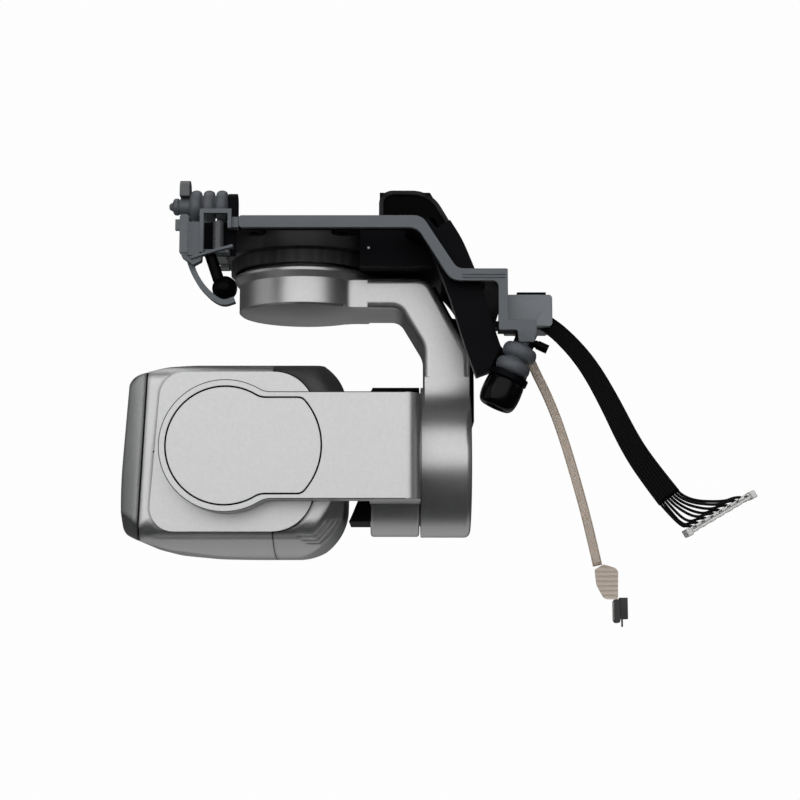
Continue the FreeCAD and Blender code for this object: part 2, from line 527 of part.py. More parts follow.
def cover_form(grow, y):
    """The inset cover: a round end, two straight edges and a bowed rear edge."""
    half = 6.2 + grow
    bow_centre, bow_r = PITCH_X + 3.5, 8.95 + grow
    depth = y[1] - y[0]
    bar = box((PITCH_X, PITCH_X + 14), y, (PITCH_Z - half, PITCH_Z + half))
    bar = bar.common(rod(V(bow_centre, y[0], PITCH_Z), Y_AXIS, bow_r, depth))
    bar = soften(bar, 1.2, lambda p, e: abs(e.tangentAt(e.FirstParameter).y) > 0.99 and p.x > PITCH_X + 5)
    round_end = rod(V(PITCH_X, y[0], PITCH_Z), Y_AXIS, COVER_R + grow, depth)
    shape = fuse([bar, round_end])
    return soften(shape, 2.5, lambda p, e: abs(e.tangentAt(e.FirstParameter).y) > 0.99
                  and PITCH_X + 2 < p.x < PITCH_X + COVER_R)


def camera_form():
    """The whole camera's outer form: side, front and plan outlines crossed with one another."""
    half = CAMERA_HALF
    side = prism("xz", [(-22.6, -20.5, 1.7), (-23.75, -35.5, 60), (-23.45, -41.0, 1.6), (-21.2, -42.1, 8),
                        (-17.5, -43.1, 12), (-11.5, -43.8, 25), (-3, -44.05, 40), (6.0, -44.0, 7.5),
                        (6.3, -17.75, 6.0), (-12.5, -17.75, 25), (-18.0, -19.0, 15)], -half, half)
    front = prism("yz", [(-half, -19.2, 2.4), (-6, -17.75, 25), (6, -17.75, 25), (half, -19.2, 2.4),
                         (half, -41.0, 3.0), (6, -44.0, 19), (-6, -44.0, 19), (-half, -41.0, 3.0)],
                  -26, 12)
    plan = prism("xy", [(-25.2, -half, 5.6), (8.9, -half, 3.5), (8.9, half, 3.5), (-25.2, half, 5.6)],
                 -46, -15)
    swing = fuse([rod(V(PITCH_X, -half, PITCH_Z), Y_AXIS, REAR_R, 2 * half),
                  box((-26, PITCH_X), (-half, half), (-46, -15))])
    ball = Part.makeSphere(CORNER_R, V(PITCH_X, 0, PITCH_Z))
    return side.common(front).common(plan).common(swing).common(ball)


def seam_plane(offset, depth):
    """A thick block along the slanted front seam, from offset towards -X by depth."""
    block = box((-depth, 0), (-20, 20), (-20, 20))
    block.rotate(V(0, 0, 0), Y_AXIS, math.degrees(FRONT_SLANT))
    block.translate(V(GAP_X + offset, 0, PITCH_Z))
    return block


def camera_unit():
    """Camera shells, optics, boards and the pieces that balance and close them."""
    form = camera_form()
    cavity = box((-19.2, 5.2), (-10.9, 10.9), (-41.4, -20.6))
    cavity = cavity.common(rod(V(PITCH_X, -12, PITCH_Z), Y_AXIS, REAR_R - WALL, 24))
    cavity = cavity.common(Part.makeSphere(CORNER_R - WALL, V(PITCH_X, 0, PITCH_Z)))
    nose = seam_plane(-GAP_WIDTH / 2, 8)
    behind_seam = form.cut(seam_plane(GAP_WIDTH / 2, 12))
    plates = []
    for sign in (-1, 1):
        outline = [(-18.3, -19.7, 3.4), (-19.8, -41.0, 3.2), (2.0, -41.0, 5.5), (2.2, -19.7, 5.5)]
        low, high = sorted((sign * (SIDE_PLATE_Y - 0.6), sign * SIDE_PLATE_Y))
        plates.append(prism("xz", outline, low, high))
    shaft_room = rod(V(PITCH_X, -14, PITCH_Z), Y_AXIS, 0.8, 5)
    pieces["side_plate_near"] = plates[0].cut(shaft_room)
    pieces["side_plate_far"] = plates[1]
    barrel_room = rod(V(-26, 0, PITCH_Z), X_AXIS, 6.9, 8)
    shell = behind_seam.cut(cavity).cut(Part.makeCompound(plates)).cut(shaft_room).cut(barrel_room)
    rear = box((REAR_SPLIT_X, 12), (-14, 14), (-46, -15))
    upper = box((-26, 12), (-14, 14), (PITCH_Z, -15))
    pieces["camera_body"] = shell.cut(rear)
    pieces["rear_shell"] = shell.common(rear).common(upper)
    heat_sink = shell.common(rear).cut(upper)
    inner_form = form.copy()
    inner_form.scale(0.97, V(PITCH_X, 0, PITCH_Z))
    for i in range(3):
        y = -11.2 + 0.85 * i
        groove = box((-0.1 + 0.6 * i, 9), (y, y + 0.2), (-46, -39.4)).cut(inner_form)
        heat_sink = heat_sink.cut(groove)
    pieces["heat_sink"] = heat_sink
    opening = rod(V(-26, 0, PITCH_Z), X_AXIS, 8.6, 6.5)
    ring = form.common(nose).cut(opening)
    pieces["front_ring"] = ring
    gasket = form.cut(nose).common(seam_plane(GAP_WIDTH / 2, 12))
    gasket = gasket.common(box((-24, -18), (-11.6, 11.6), (-41.3, -18.0))).cut(opening)
    pieces["front_gasket"] = gasket
    pieces["front_glass"] = rod(V(-22.75, 0, PITCH_Z), X_AXIS, 8.55, 0.35)
    barrel = spin([(5.2, -22.4), (6.9, -22.4), (6.9, -17.5), (8.0, -17.5), (8.0, -13.0), (6.0, -13.0),
                   (6.0, -8.2), (5.2, -8.2)], V(0, 0, PITCH_Z), X_AXIS)
    pieces["lens_barrel"] = barrel
    lenses = []
    for x, bulge in ((-22.0, 7.5), (-17.0, 9.0), (-12.0, 8.0)):
        ball = Part.makeSphere(bulge, V(x + bulge, 0, PITCH_Z))
        lenses.append(ball.common(rod(V(x - 0.5, 0, PITCH_Z), X_AXIS, 5.15, 3.2)))
    pieces["lens_elements"] = Part.makeCompound(lenses)
    pieces["image_sensor"] = box((-7.4, -6.6), (-3.4, 3.4), (PITCH_Z - 2.7, PITCH_Z + 2.7))
    pieces["sensor_board"] = box((-6.6, -5.7), (-9.5, 9.5), (-38.6, -21.8))
    pieces["balance_weight"] = box((-17.2, -8.8), (8.2, 10.8), (-39.5, -34.0))
    screws = [bolt(V(x, SIDE_PLATE_Y, z), Y_AXIS, 0.9, 0.4, 0.5, 1.2)
              for x, z in ((-16.4, -21.6), (-17.2, -38.6), (-4.4, -22.4), (-4.6, -38.4))]
    pieces["body_screws"] = Part.makeCompound(screws)
    for name in ("side_plate_far", "camera_body", "rear_shell", "heat_sink"):
        pieces[name] = pieces[name].cut(pieces["body_screws"])


def cable_unit():
    """The cable block with the flat bundle and the flex ribbon, their loose wires and connectors."""
    block = prism("xz", [(27.5, -10.0, 0.3), (33.5, -10.0, 0.5), (33.5, -14.2, 0.5), (27.5, -14.2, 0.2)],
                  -16.0, -8.4)
    slot = box((29.4, 34), (BUNDLE_Y - 0.65, BUNDLE_Y + 0.65), (-15, -10.4))
    pieces["cable_block"] = block.cut(slot)
    pieces["cable_block_pad"] = box((28.9, 32.7), (-15.6, -8.8), (-10.0, -9.6))
    screws = [bolt(V(x, y, -9.6), Z_AXIS, 0.6, 0.3, 0.3, 1.2) for x in (29.6, 32.0) for y in (-12.6, -9.6)]
    pieces["cable_block_screws"] = Part.makeCompound(screws)
    for name in ("cable_block", "cable_block_pad"):
        pieces[name] = pieces[name].cut(pieces["cable_block_screws"])
    depth = (BUNDLE_Y - BUNDLE_DEPTH / 2, BUNDLE_Y + BUNDLE_DEPTH / 2)
    pieces["signal_cable"] = cable("signal_cable", BUNDLE_ROUTE, BUNDLE_WIDTH, depth)
    depth = (FLEX_Y - FLEX_DEPTH / 2, FLEX_Y + FLEX_DEPTH / 2)
    pieces["flex_ribbon"] = cable("flex_ribbon", FLEX_ROUTE, FLEX_WIDTH, depth)
    board = box((-4.8, 4.8), (-1.5, 1.5), (-0.35, 0.35))
    ends = [box((x, x + 0.8), (-1.9, 1.9), (-0.55, 0.55)) for x in (-5.25, 4.45)]
    strip_board = fuse([board] + ends)
    strip_board.rotate(V(0, 0, 0), Y_AXIS, -30.2)
    strip_board.translate(V(55.2, BUNDLE_Y, -38.8))
    pieces["signal_connector"] = strip_board
    wires = []
    end_x, end_z = BUNDLE_ROUTE[-1]
    for i in range(5):
        spread = i - 2
        y = BUNDLE_Y + 0.2 + 0.42 * spread
        landing = 51.6 + 1.1 * i
        above = -38.8 + (landing - 55.2) * math.tan(math.radians(30.2)) + 0.62
        wires.append(strip([(end_x + 0.35 * spread, end_z + 0.25 * spread),
                            (end_x + 1.0 + 0.3 * i, end_z - 1.7 + 0.2 * i), (landing, above)], 0.3,
                           (y - 0.15, y + 0.15)))
    wires = Part.makeCompound(wires).cut(pieces["signal_cable"]).cut(strip_board)
    pieces["signal_wires"] = wires
    head = prism("xz", [(39.1, -45.9, 0.2), (40.3, -45.2, 0.3), (42.2, -45.8, 0.8), (42.1, -49.8, 0.2),
                        (40.3, -49.8, 0.9), (39.3, -47.9, 1.5)], FLEX_Y - 0.15, FLEX_Y + 0.15)
    pieces["flex_head"] = head.cut(pieces["flex_ribbon"])
    plate = prism("xz", [(41.5, -49.8, 0.35), (42.3, -49.8, 0.35), (42.3, -52.9, 0.35),
                         (41.5, -52.9, 0.35)], FLEX_Y - 0.9, FLEX_Y + 0.9)
    socket = box((42.3, 43.3), (FLEX_Y - 0.8, FLEX_Y + 0.8), (-52.4, -49.6))
    tail = rod(V(42.6, FLEX_Y, -53.4), Z_AXIS, 0.12, 1.0)
    pieces["flex_connector"] = fuse([plate, socket, tail]).cut(pieces["flex_head"])


def build():
    pieces["damping_frame"] = damping_frame()
    pieces["front_cradle"] = front_cradle().cut(pieces["damping_frame"])
    front_dampers()
    rear_dampers()
    pieces["inner_bracket"] = inner_bracket()
    pieces["rear_hood"] = rear_hood()
    yaw_unit()
    screws = [bolt(V(x, y, 1.4), Z_AXIS, 1.0, 0.5, 0.5, 0.9) for x in (-6.6, 6.6) for y in (-6.6, 6.6)]
    pieces["bracket_screws"] = Part.makeCompound(screws)
    for name in ("inner_bracket", "yaw_motor_housing"):
        pieces[name] = pieces[name].cut(pieces["bracket_screws"])
    yaw_arm()
    roll_unit()
    pitch_unit()
    camera_unit()
    cable_unit()
    pieces["damping_frame"] = pieces["damping_frame"].cut(pieces["bumpers"])
    pieces["cable_block"] = pieces["cable_block"].cut(pieces["damping_frame"]).cut(pieces["flex_ribbon"])
    pieces["pitch_arm"] = pieces["pitch_arm"].cut(pieces["tilt_stop"])


build()
os.makedirs("parts", exist_ok=True)
for name, shape in sorted(pieces.items()):
    if not shape.isValid():
        print("not valid:", name)
    print(f"{name:22s} solids {len(shape.Solids):2d} volume {shape.Volume:9.3f}")
    shape.exportStep(os.path.join("parts", name + ".step"))
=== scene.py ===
"""Looks of the camera gimbal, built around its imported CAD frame.

Lengths are in metres, and those in millimetres are multiplied by MM where they are used.
"""
import json
import math

import bmesh
import bpy
from mathutils import Matrix, Vector


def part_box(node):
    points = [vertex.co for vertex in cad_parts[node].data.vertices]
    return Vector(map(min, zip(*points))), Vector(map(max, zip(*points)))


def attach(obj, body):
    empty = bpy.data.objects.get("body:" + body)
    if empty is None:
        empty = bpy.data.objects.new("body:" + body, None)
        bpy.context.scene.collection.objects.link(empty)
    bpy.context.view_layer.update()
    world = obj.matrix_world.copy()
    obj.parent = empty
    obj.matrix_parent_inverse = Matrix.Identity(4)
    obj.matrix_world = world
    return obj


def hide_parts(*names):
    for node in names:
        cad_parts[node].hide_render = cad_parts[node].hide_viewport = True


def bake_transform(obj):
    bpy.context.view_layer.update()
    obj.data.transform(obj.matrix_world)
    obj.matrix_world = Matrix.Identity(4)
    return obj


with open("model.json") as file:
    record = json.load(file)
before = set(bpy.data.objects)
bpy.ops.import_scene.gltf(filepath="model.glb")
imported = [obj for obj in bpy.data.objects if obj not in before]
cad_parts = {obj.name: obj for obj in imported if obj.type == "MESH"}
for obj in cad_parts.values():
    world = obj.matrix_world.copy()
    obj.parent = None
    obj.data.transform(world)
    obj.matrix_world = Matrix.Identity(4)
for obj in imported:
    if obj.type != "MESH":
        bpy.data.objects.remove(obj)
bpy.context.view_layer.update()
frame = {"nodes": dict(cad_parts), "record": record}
nodes = frame["nodes"]

MM = 0.001
X_AXIS = Vector((1, 0, 0))
Y_AXIS = Vector((0, 1, 0))
Z_AXIS = Vector((0, 0, 1))

# ---------------------------------------------------------------- camera, lights and floor
EYE = Vector((0.01344, -0.250, -0.0565))
AIM = Vector((0.01344, 0.0, -0.0218))
LENS = 81.3
PAPER = (0.985, 0.985, 0.985)
WALLS = 8
WALL_DISTANCE = 3.9


def make_camera():
    data = bpy.data.cameras.new("camera")
    data.lens = LENS
    data.sensor_width = 36
    data.clip_start = 0.01
    data.clip_end = 20
    camera = bpy.data.objects.new("camera", data)
    camera.location = EYE
    camera.rotation_mode = "QUATERNION"
    camera.rotation_quaternion = (AIM - EYE).to_track_quat("-Z", "Y")
    bpy.context.scene.collection.objects.link(camera)
    bpy.context.scene.camera = camera


def area_light(name, place, aim, width, height, power):
    data = bpy.data.lights.new(name, "AREA")
    data.shape = "RECTANGLE"
    data.size = width
    data.size_y = height
    data.energy = power
    light = bpy.data.objects.new(name, data)
    light.location = place
    light.rotation_mode = "QUATERNION"
    light.rotation_quaternion = (Vector(aim) - Vector(place)).to_track_quat("-Z", "Y")
    bpy.context.scene.collection.objects.link(light)


def stage_plane(name, centre, x_side, y_side):
    """A flat sheet of studio paper with an even glow, spanned by two half sides."""
    centre, x_side, y_side = Vector(centre), Vector(x_side), Vector(y_side)
    mesh = bpy.data.meshes.new(name)
    corners = [centre + a * x_side + b * y_side for a, b in ((-1, -1), (1, -1), (1, 1), (-1, 1))]
    mesh.from_pydata(corners, [], [(0, 1, 2, 3)])
    sheet = bpy.data.objects.new(name, mesh)
    material = bpy.data.materials.new(name)
    material.use_nodes = True
    tree = material.node_tree
    tree.nodes.clear()
    glow = tree.nodes.new("ShaderNodeEmission")
    glow.inputs["Color"].default_value = (*PAPER, 1)
    glow.inputs["Strength"].default_value = 1.0
    out = tree.nodes.new("ShaderNodeOutputMaterial")
    tree.links.new(glow.outputs[0], out.inputs[0])
    mesh.materials.append(material)
    bpy.context.scene.collection.objects.link(sheet)
    return sheet


def make_studio():
    scene = bpy.context.scene
    scene.view_settings.view_transform = "Standard"
    scene.view_settings.look = "None"
    world = bpy.data.worlds.new("studio")
    world.use_nodes = True
    background = world.node_tree.nodes["Background"]
    background.inputs["Color"].default_value = (0.97, 0.985, 1.0, 1)
    background.inputs["Strength"].default_value = 0.04
    scene.world = world
    floor = stage_plane("floor", (0, 0, -0.6), (4, 0, 0), (0, 4, 0))
    sheets = []
    for k in range(WALLS):
        turn = math.tau * k / WALLS
        centre = (WALL_DISTANCE * math.cos(turn), WALL_DISTANCE * math.sin(turn), 1.0)
        sideways = (-2.0 * math.sin(turn), 2.0 * math.cos(turn), 0)
        sheets.append(stage_plane(f"wall_{k}", centre, sideways, (0, 0, 2.4)))
    ceiling = stage_plane("ceiling", (0, 0, 3.3), (4, 0, 0), (0, 4, 0))
    for sheet in [floor, ceiling] + sheets:
        sheet.visible_diffuse = False
        sheet.visible_glossy = False
        sheet.visible_shadow = False
    area_light("front_softbox", (-0.05, -0.51, 0.14), (0.0, 0, -0.02), 1.0, 0.62, 2.35)
    area_light("top_softbox", (0.0, 0.05, 0.5), (0, 0, -0.02), 0.6, 0.4, 0.8)
    area_light("back_softbox", (0.0, 0.40, -0.42), (0, 0, -0.02), 0.9, 0.55, 0.68)
    area_light("left_softbox", (-0.55, -0.22, 0.1), (0, 0, -0.02), 0.55, 0.5, 0.36)
    area_light("right_softbox", (0.55, -0.1, 0.05), (0, 0, -0.02), 0.3, 0.3, 0.08)


# ---------------------------------------------------------------- materials
# the specular level that a shade takes: dull where its colour is nearly black, as in the frame's painted
# shade
DULL = 0.04
GLOSSY = 0.4
SEAM_COLOUR = (0.004, 0.004, 0.005)
SEAM_X = -3.4 * MM

def new_material(name):
    material = bpy.data.materials.new(name)
    material.use_nodes = True
    tree = material.node_tree
    shader = tree.nodes["Principled BSDF"]
    return material, tree, shader


def position(tree, scale=(1, 1, 1), kind="Object"):
    """Object-space position, so that a pattern has its real size."""
    coordinates = tree.nodes.new("ShaderNodeTexCoord")
    mapping = tree.nodes.new("ShaderNodeMapping")
    mapping.inputs["Scale"].default_value = scale
    tree.links.new(coordinates.outputs[kind], mapping.inputs["Vector"])
    return mapping.outputs["Vector"]


def noise(tree, vector, scale, detail=3.0, roughness=0.6):
    node = tree.nodes.new("ShaderNodeTexNoise")
    node.inputs["Scale"].default_value = scale
    node.inputs["Detail"].default_value = detail
    node.inputs["Roughness"].default_value = roughness
    tree.links.new(vector, node.inputs["Vector"])
    return node.outputs["Fac"]


def ramp(tree, fac, stops):
    """A colour ramp through (place, colour) stops."""
    node = tree.nodes.new("ShaderNodeValToRGB")
    elements = node.color_ramp.elements
    while len(elements) > 1:
        elements.remove(elements[-1])
    elements[0].position, elements[0].color = stops[0][0], (*stops[0][1], 1)
    for place, colour in stops[1:]:
        elements.new(place).color = (*colour, 1)
    tree.links.new(fac, node.inputs["Fac"])
    return node.outputs["Color"]


def map_range(tree, value, low, high, to_low, to_high):
    node = tree.nodes.new("ShaderNodeMapRange")
    for socket, number in (("From Min", low), ("From Max", high), ("To Min", to_low), ("To Max", to_high)):
        node.inputs[socket].default_value = number
    tree.links.new(value, node.inputs["Value"])
    return node.outputs["Result"]


def calculate(tree, operation, a, b=0.0):
    """A maths node on sockets or plain numbers."""
    node = tree.nodes.new("ShaderNodeMath")
    node.operation = operation
    for socket, value in zip(node.inputs, (a, b)):
        if isinstance(value, (int, float)):
            socket.default_value = value
        else:
            tree.links.new(value, socket)
    return node.outputs[0]


def bump(tree, height, distance, under=None):
    node = tree.nodes.new("ShaderNodeBump")
    node.inputs["Distance"].default_value = distance
    node.inputs["Strength"].default_value = 1.0
    tree.links.new(height, node.inputs["Height"])
    if under is not None:
        tree.links.new(under, node.inputs["Normal"])
    return node.outputs["Normal"]


def blend_colour(tree, factor, a, b):
    """Mix two colours; either may be a socket or a plain colour."""
    mix = tree.nodes.new("ShaderNodeMix")
    mix.data_type = "RGBA"
    tree.links.new(factor, mix.inputs["Factor"])
    for socket, value in ((mix.inputs[6], a), (mix.inputs[7], b)):
        if isinstance(value, tuple):
            socket.default_value = (*value, 1)
        else:
            tree.links.new(value, socket)
    return mix.outputs[2]


def axis_value(tree, axis):
    """The object-space coordinate along one axis, in metres."""
    coordinates = tree.nodes.new("ShaderNodeTexCoord")
    parts = tree.nodes.new("ShaderNodeSeparateXYZ")
    tree.links.new(coordinates.outputs["Object"], parts.inputs[0])
    return parts.outputs[axis]


def near_plane(tree, axis, place, half_width):
    """1 on a plane across an axis, falling to 0 at half_width from it."""
    away = calculate(tree, "ABSOLUTE", calculate(tree, "SUBTRACT", axis_value(tree, axis), place))
    return map_range(tree, away, half_width * 0.5, half_width, 1.0, 0.0)


def grained(name, colour, roughness, metallic=0.0, spread=0.12, grain=9000, grain_depth=0.004,
            cloud=120, rough_spread=0.06, specular=0.5, edge=None, stretch=(1, 1, 1),
            rounding=0.12, shade=None, seams=()):
    """A surface with a fine grain in its bump, soft clouds in its colour and uneven gloss.

    edge is (amount, colour) for lighter convex edges, on the rear hood a painted highlight; shade is
    (axis, from, to, colour) for a stretch of another colour, alike on both sides where the axis is Y: painted
    shade inside the frame, a painted highlight on the bumper post and the bracket tab's own grey. seams are
    (axis, place, half width) of closed joints between pieces. rounding is the radius in millimetres that
    edges seem to have.
    """
    material, tree, shader = new_material(name)
    vector = position(tree, stretch)
    fine = noise(tree, vector, grain, 2.0)
    clouds = noise(tree, position(tree), cloud, 4.0)
    speckle = noise(tree, vector, grain * 0.45, 1.0)
    mixed = tree.nodes.new("ShaderNodeMath")
    mixed.operation = "MULTIPLY_ADD"
    mixed.inputs[1].default_value = 0.35
    tree.links.new(speckle, mixed.inputs[0])
    tree.links.new(map_range(tree, clouds, 0.0, 1.0, 0.0, 0.65), mixed.inputs[2])
    dark = tuple(c * (1 - spread) for c in colour)
    light = tuple(min(1.0, c * (1 + spread)) for c in colour)
    base = ramp(tree, mixed.outputs[0], [(0.3, dark), (0.7, light)])
    if edge:
        # lighter convex edges; on the rear hood they are a painted highlight along its rim
        geometry = tree.nodes.new("ShaderNodeNewGeometry")
        convex_edges = map_range(tree, geometry.outputs["Pointiness"], 0.52, 0.6, 0.0, edge[0])
        base = blend_colour(tree, convex_edges, base, edge[1])
    # a stretch of another colour: painted shade in the frame, a painted highlight on the bumper post, the
    # bracket tab's own grey
    if shade:
        axis, start, stop, other = shade
        away = axis_value(tree, axis)
        if axis == 1:
            away = calculate(tree, "ABSOLUTE", away)
        base = blend_colour(tree, map_range(tree, away, start, stop, 0.0, 1.0), base, other)
        other_specular = DULL if sum(other) < 0.1 else GLOSSY
        gloss = map_range(tree, away, start, stop, specular, other_specular)
        tree.links.new(gloss, shader.inputs["Specular IOR Level"])
    for axis, place, half_width in seams:
        base = blend_colour(tree, near_plane(tree, axis, place, half_width), base, SEAM_COLOUR)
    tree.links.new(base, shader.inputs["Base Color"])
    shader.inputs["Metallic"].default_value = metallic
    shader.inputs["Specular IOR Level"].default_value = specular
    rough = map_range(tree, clouds, 0.3, 0.7, roughness - rough_spread, roughness + rough_spread)
    tree.links.new(rough, shader.inputs["Roughness"])
    rounded = tree.nodes.new("ShaderNodeBevel")
    rounded.samples = 4
    rounded.inputs["Radius"].default_value = rounding * MM
    tree.links.new(bump(tree, fine, grain_depth * MM, under=rounded.outputs[0]), shader.inputs["Normal"])
    return material


def lens_coating(name):
    """Dark coated glass: clear, with a violet and green tint that shifts in bands."""
    material, tree, shader = new_material(name)
    clouds = noise(tree, position(tree), 260, 2.0)
    tint = ramp(tree, clouds, [(0.3, (0.22, 0.25, 0.36)), (0.5, (0.28, 0.22, 0.36)),
                               (0.7, (0.18, 0.32, 0.30))])
    tree.links.new(tint, shader.inputs["Base Color"])
    shader.inputs["Transmission Weight"].default_value = 0.92
    shader.inputs["IOR"].default_value = 1.5
    shader.inputs["Coat Weight"].default_value = 0.6
    shader.inputs["Coat Tint"].default_value = (0.7, 0.6, 1.0, 1)
    smudge = noise(tree, position(tree), 900, 4.0)
    tree.links.new(map_range(tree, smudge, 0.35, 0.75, 0.0, 0.06), shader.inputs["Roughness"])
    return material


def windings(name):
    """Enamelled copper wire in tight turns."""
    material, tree, shader = new_material(name)
    wave = tree.nodes.new("ShaderNodeTexWave")
    wave.bands_direction = "DIAGONAL"
    wave.inputs["Scale"].default_value = 1400
    wave.inputs["Distortion"].default_value = 0.6
    tree.links.new(position(tree), wave.inputs["Vector"])
    base = ramp(tree, wave.outputs["Fac"], [(0.1, (0.18, 0.05, 0.02)), (0.6, (0.72, 0.28, 0.1)),
                                            (0.9, (0.9, 0.42, 0.2))])
    tree.links.new(base, shader.inputs["Base Color"])
    shader.inputs["Metallic"].default_value = 0.85
    shader.inputs["Roughness"].default_value = 0.28
    tree.links.new(bump(tree, wave.outputs["Fac"], 0.05 * MM), shader.inputs["Normal"])
    return material


def solder_board(name):
    """Green solder mask over copper tracks and pads."""
    material, tree, shader = new_material(name)
    cells = tree.nodes.new("ShaderNodeTexVoronoi")
    cells.distance = "MANHATTAN"
    cells.inputs["Scale"].default_value = 900
    tree.links.new(position(tree), cells.inputs["Vector"])
    base = ramp(tree, cells.outputs["Distance"], [(0.12, (0.55, 0.42, 0.2)), (0.16, (0.01, 0.06, 0.03)),
                                                   (0.45, (0.015, 0.09, 0.05)), (0.5, (0.03, 0.14, 0.08))])
    tree.links.new(base, shader.inputs["Base Color"])
    shader.inputs["Roughness"].default_value = 0.32
    tree.links.new(bump(tree, cells.outputs["Distance"], 0.03 * MM), shader.inputs["Normal"])
    return material


def flex_film(name):
    """Amber film with copper tracks along its length, seen through the cover layer."""
    material, tree, shader = new_material(name)
    parts = tree.nodes.new("ShaderNodeSeparateXYZ")
    tree.links.new(position(tree, kind="UV"), parts.inputs[0])
    wave = calculate(tree, "SINE", calculate(tree, "MULTIPLY", parts.outputs[0], math.tau * 7))
    clouds = noise(tree, position(tree), 500, 4.0)
    film = ramp(tree, clouds, [(0.3, (0.70, 0.585, 0.48)), (0.7, (0.76, 0.635, 0.525))])
    track = map_range(tree, wave, 0.1, 0.6, 0.0, 0.35)
    base = blend_colour(tree, track, film, (0.58, 0.47, 0.38))
    tree.links.new(base, shader.inputs["Base Color"])
    shader.inputs["Roughness"].default_value = 0.38
    shader.inputs["Coat Weight"].default_value = 0.25
    tree.links.new(bump(tree, wave, 0.02 * MM), shader.inputs["Normal"])
    return material


def flex_stripes(name):
    """The same film with its tracks turned across, as on the ribbon's wider head."""
    material, tree, shader = new_material(name)
    wave = calculate(tree, "SINE", calculate(tree, "MULTIPLY", axis_value(tree, 2), math.tau * 1600))
    clouds = noise(tree, position(tree), 500, 4.0)
    film = ramp(tree, clouds, [(0.3, (0.70, 0.59, 0.50)), (0.7, (0.80, 0.68, 0.58))])
    base = blend_colour(tree, map_range(tree, wave, 0.75, 0.95, 0.0, 0.6), film, (0.40, 0.31, 0.24))
    tree.links.new(base, shader.inputs["Base Color"])
    shader.inputs["Roughness"].default_value = 0.4
    tree.links.new(bump(tree, wave, 0.02 * MM), shader.inputs["Normal"])
    return material


def silver(name, seams=(), rounding=0.12):
    """Fine metallic paint."""
    return grained(name, (0.585, 0.59, 0.585), 0.36, metallic=0.9, spread=0.07, grain=5200, grain_depth=0.008,
                   rough_spread=0.03, seams=seams, rounding=rounding)


def frame_plastic(name, painted_shade_within):
    """Grey moulded plastic with painted shade: it turns black and dull within painted_shade_within
    millimetres of the middle plane, on the inner faces that lie in shade.
    """
    return grained(name, (0.112, 0.126, 0.14), 0.5, spread=0.12, grain=3600, grain_depth=0.012,
                   edge=(0.5, (0.2, 0.22, 0.24)),
                   shade=(1, (painted_shade_within + 0.1) * MM, (painted_shade_within - 0.1) * MM, (0.004, 0.0045, 0.006)))


